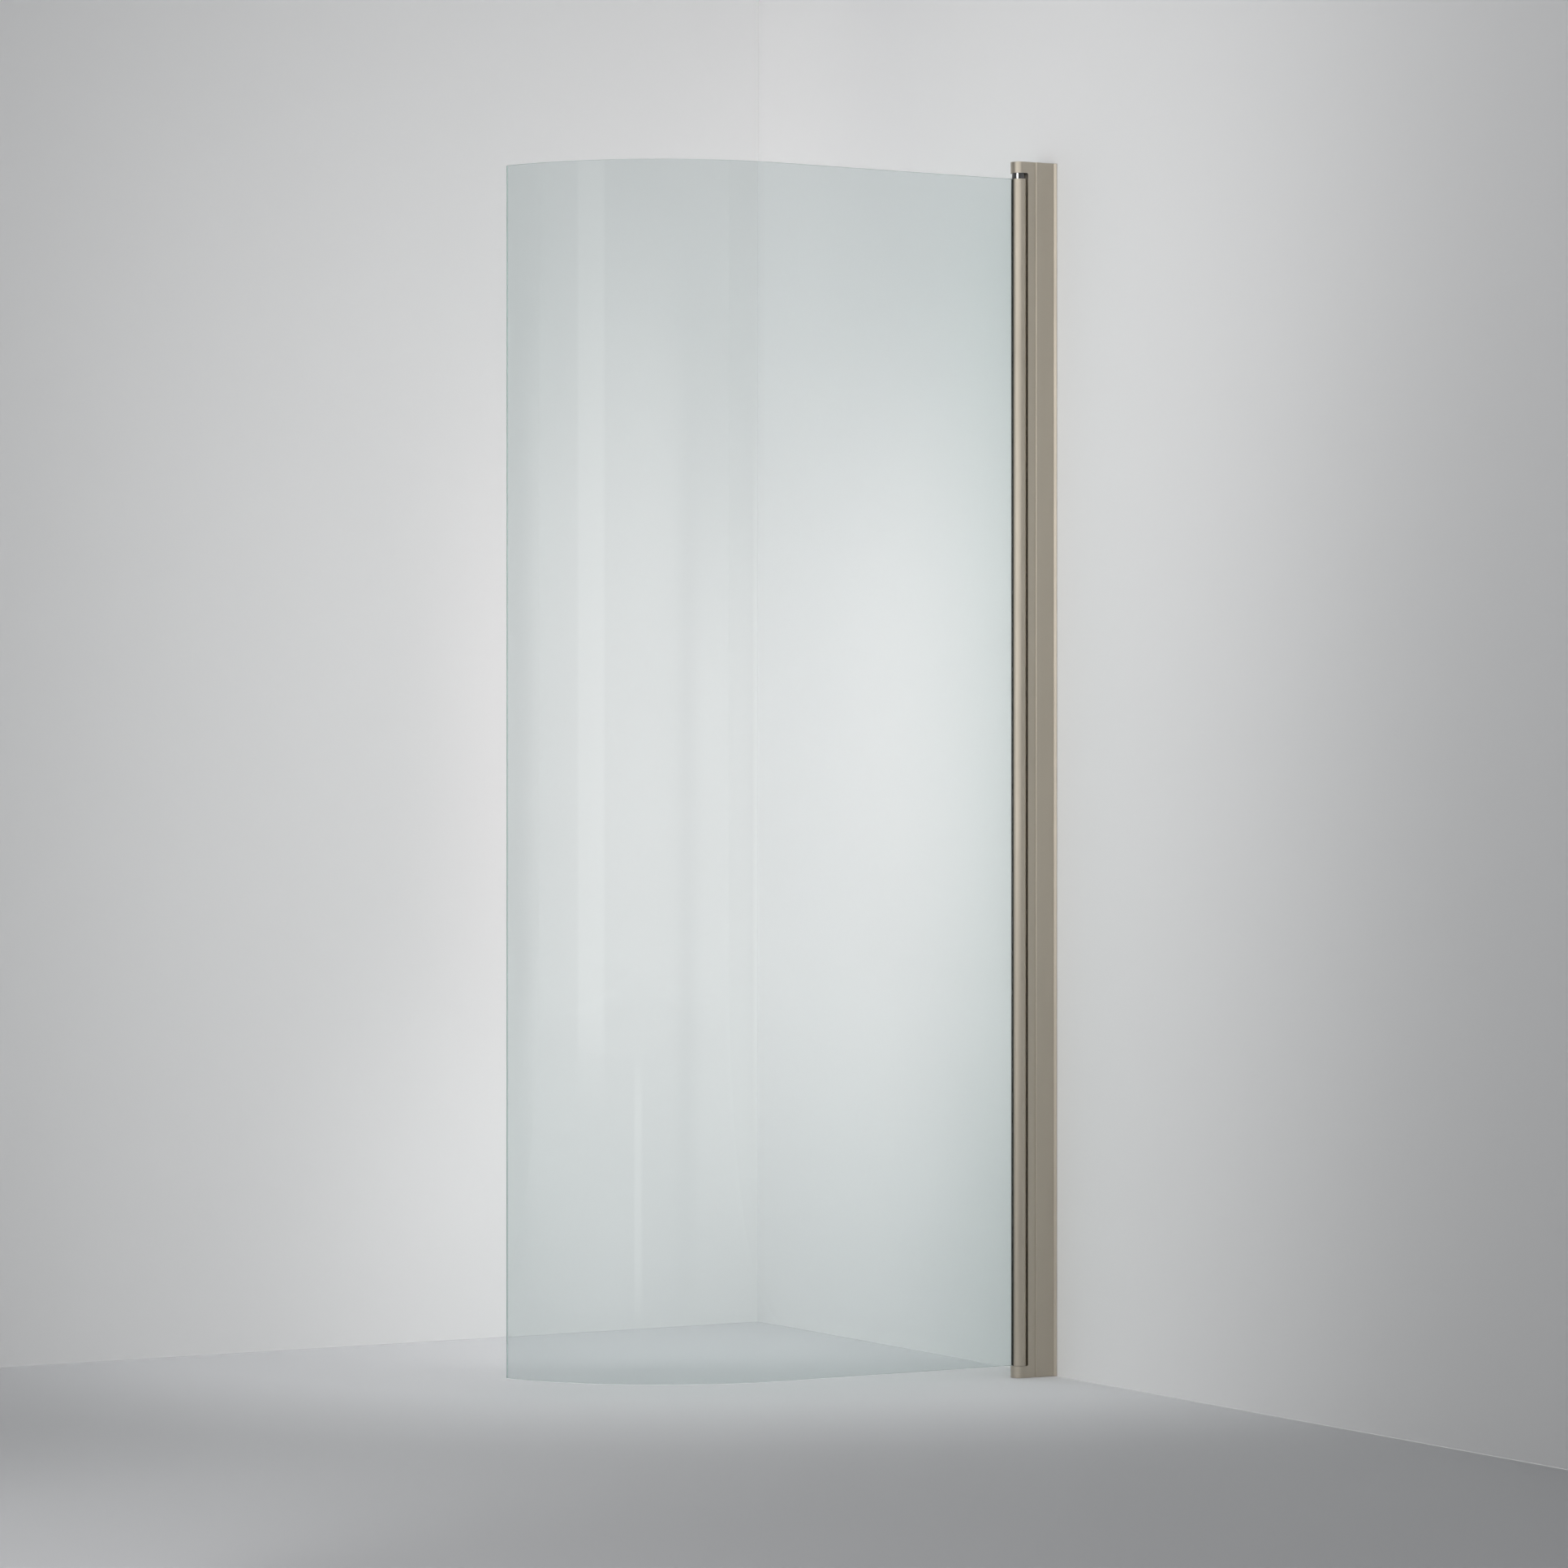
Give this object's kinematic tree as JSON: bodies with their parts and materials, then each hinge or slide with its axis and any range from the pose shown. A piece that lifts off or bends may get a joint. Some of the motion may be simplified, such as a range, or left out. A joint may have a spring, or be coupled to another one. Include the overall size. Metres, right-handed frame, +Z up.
{
  "type": "shower screen",
  "caption": "Frameless curved glass shower screen that swings on a rising barrel hinge, in a round-nosed metal post and wall channel.",
  "frame": {"origin": "on the wall plane, on the centre line of the wall channel's thickness, at the floor", "axes": "+X into the wall, -Y towards the room, +Y into the shower, +Z up"},
  "size_m": [0.8794, 0.2729, 2],
  "materials": {
    "champagne_aluminium": "satin champagne anodised",
    "champagne_plastic": "matt, moulded to match the profiles",
    "stainless_steel": "plain turned",
    "black_plastic": "matt moulded",
    "glossy_black_plastic": "polished",
    "black_rubber": "extruded glazing rubber",
    "clear_glass": "clear toughened glass with a faint green cast and ground edges"
  },
  "bodies": {
    "wall_frame": {"wall_channel": "champagne_aluminium", "hinge_post": "champagne_aluminium", "clamp_screws": "stainless_steel", "clamp_nuts": "stainless_steel", "screw_covers": "champagne_plastic", "top_pivot_block": "black_plastic", "bottom_pivot_block": "black_plastic", "pivot_block_screws": "stainless_steel", "bottom_hinge_pin": "stainless_steel", "fixed_cam": "glossy_black_plastic", "post_top_cap": "champagne_plastic", "post_foot_cap": "champagne_plastic", "channel_top_plug": "champagne_plastic"},
    "lift_bush": {"top_bush": "glossy_black_plastic"},
    "door": {"door_barrel": "champagne_aluminium", "glass_panel": "clear_glass", "outer_gasket": "black_rubber", "inner_gasket": "black_rubber", "edge_cushion": "black_rubber", "top_plug": "black_plastic", "bottom_plug": "black_plastic", "plug_screws": "stainless_steel", "follower_cam": "glossy_black_plastic"}
  },
  "joints": [
    {"name": "door_rise", "type": "slide", "parent": "wall_frame", "child": "lift_bush", "axis": [0, 0, 1], "range_m": [0, 0.008]},
    {"name": "door_swing", "type": "hinge", "parent": "lift_bush", "child": "door", "pos_m": [-0.063, 0, 1], "axis": [0, 0, 1], "range_deg": [0, 90]}
  ],
  "couplings": [
    {"joint": "door_rise", "follows": "door_swing", "m_per_rad": 0.0050929}
  ]
}
